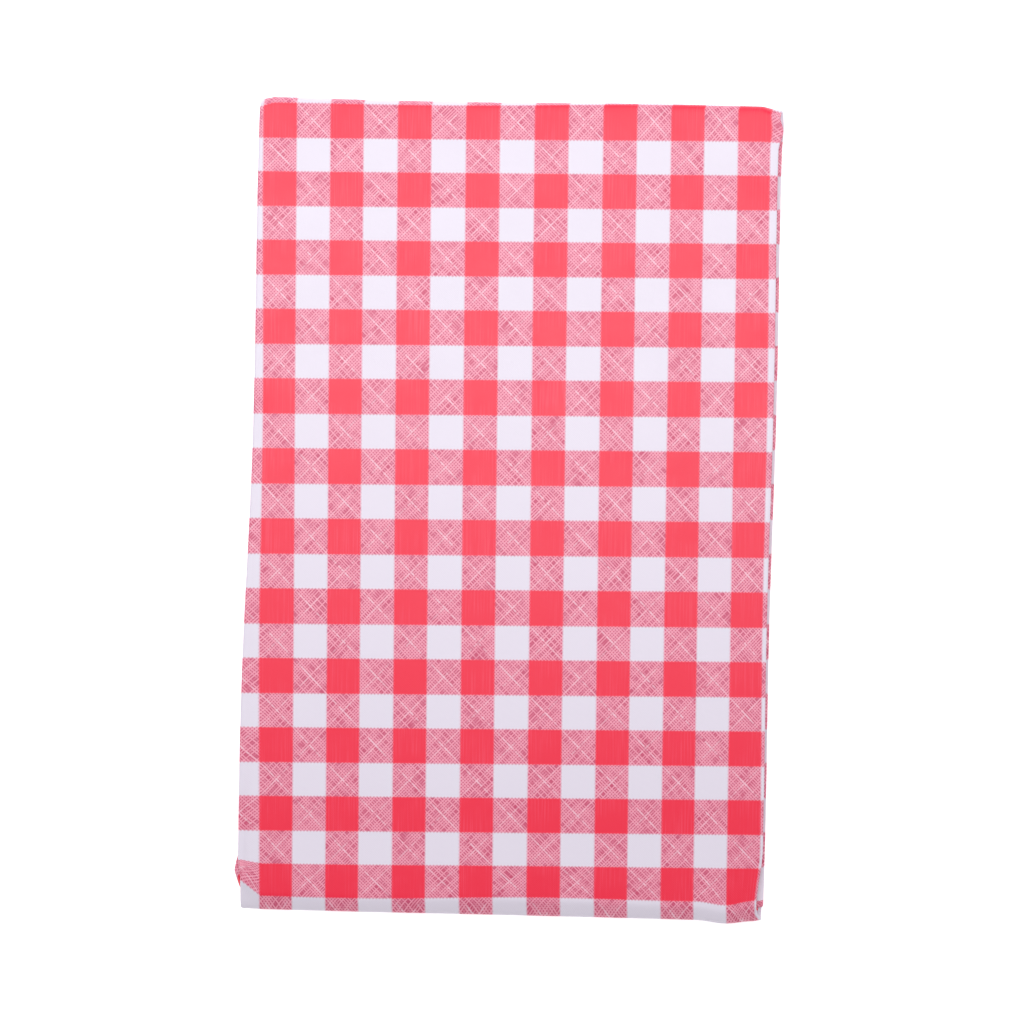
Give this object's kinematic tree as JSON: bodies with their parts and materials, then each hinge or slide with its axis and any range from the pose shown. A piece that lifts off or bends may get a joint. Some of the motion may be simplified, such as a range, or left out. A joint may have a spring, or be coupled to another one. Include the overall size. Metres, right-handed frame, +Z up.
{
  "type": "folded tablecloth",
  "caption": "Checked cotton-blend tablecloth folded in half and half again each way into a flat rectangular packet, with hemmed edges and a last fold that opens.",
  "frame": {"origin": "middle of the packet's underside", "axes": "+Z up, off the surface that it lies on; +Y along the packet's length, from the last fold to the end fold; +X across it, towards the side with the free long edges"},
  "size_m": [0.3526, 0.5448, 0.0141],
  "materials": {
    "gingham_cloth": "matt woven cloth printed in solid red, cross-hatched pink and white squares",
    "gingham_fold": "matt woven cloth turned round a fold",
    "gingham_hem": "double-turned hem of the same cloth, stitched"
  },
  "bodies": {
    "lower_half": {"bottom_leaf": "gingham_cloth", "lower_inner_leaf": "gingham_cloth", "last_fold_outer": "gingham_fold", "last_fold_inner": "gingham_fold", "bottom_leaf_first_edge_hem": "gingham_hem", "bottom_leaf_last_edge_hem": "gingham_hem", "bottom_leaf_end_hem": "gingham_hem", "lower_inner_leaf_first_edge_hem": "gingham_hem", "lower_inner_leaf_last_edge_hem": "gingham_hem", "lower_inner_leaf_end_hem": "gingham_hem"},
    "upper_half": {"upper_inner_leaf": "gingham_cloth", "top_leaf": "gingham_cloth", "end_fold": "gingham_fold", "upper_inner_leaf_first_edge_hem": "gingham_hem", "upper_inner_leaf_last_edge_hem": "gingham_hem", "top_leaf_first_edge_hem": "gingham_hem", "top_leaf_last_edge_hem": "gingham_hem"}
  },
  "joints": [
    {"name": "last_fold", "type": "hinge", "parent": "lower_half", "child": "upper_half", "pos_m": [0, -0.26539, 0.00705], "axis": [1, 0, 0], "range_deg": [0, 180], "deforming": ["last_fold_outer", "last_fold_inner"]}
  ]
}
